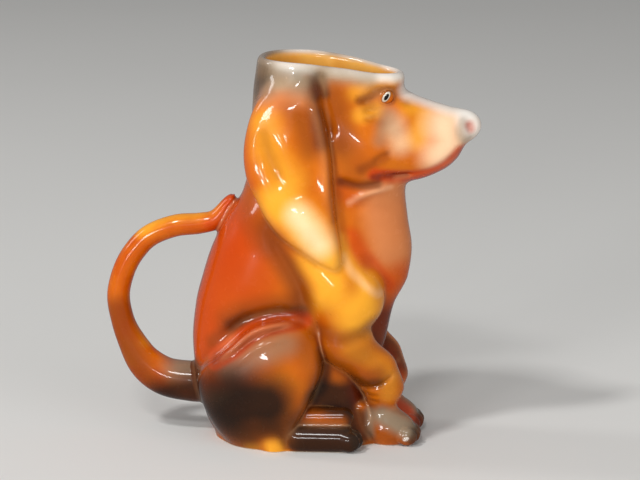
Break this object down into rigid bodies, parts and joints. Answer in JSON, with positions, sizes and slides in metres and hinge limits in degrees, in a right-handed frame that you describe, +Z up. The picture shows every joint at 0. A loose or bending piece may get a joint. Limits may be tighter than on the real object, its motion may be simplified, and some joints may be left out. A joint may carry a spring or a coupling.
{
  "type": "figural cream pitcher",
  "caption": "Glazed pottery cream pitcher in the form of a sitting long-eared dog: open crown as mouth, muzzle as spout side, curled tail as handle.",
  "frame": {"origin": "on the ground, under the middle of the whole pitcher's bounding box", "axes": "+X towards the dog's nose, +Y towards the dog's left, +Z up"},
  "size_m": [0.1266, 0.059, 0.1299],
  "materials": {
    "body_glaze": "gloss",
    "tail_glaze": "gloss",
    "ear_glaze": "gloss",
    "leg_glaze": "gloss",
    "foot_glaze": "gloss"
  },
  "bodies": {
    "root": {"body_shell": "body_glaze", "tail_handle": "tail_glaze", "left_ear": "ear_glaze", "right_ear": "ear_glaze", "left_foreleg": "leg_glaze", "right_foreleg": "leg_glaze", "left_hind_foot": "foot_glaze", "right_hind_foot": "foot_glaze"}
  },
  "joints": []
}
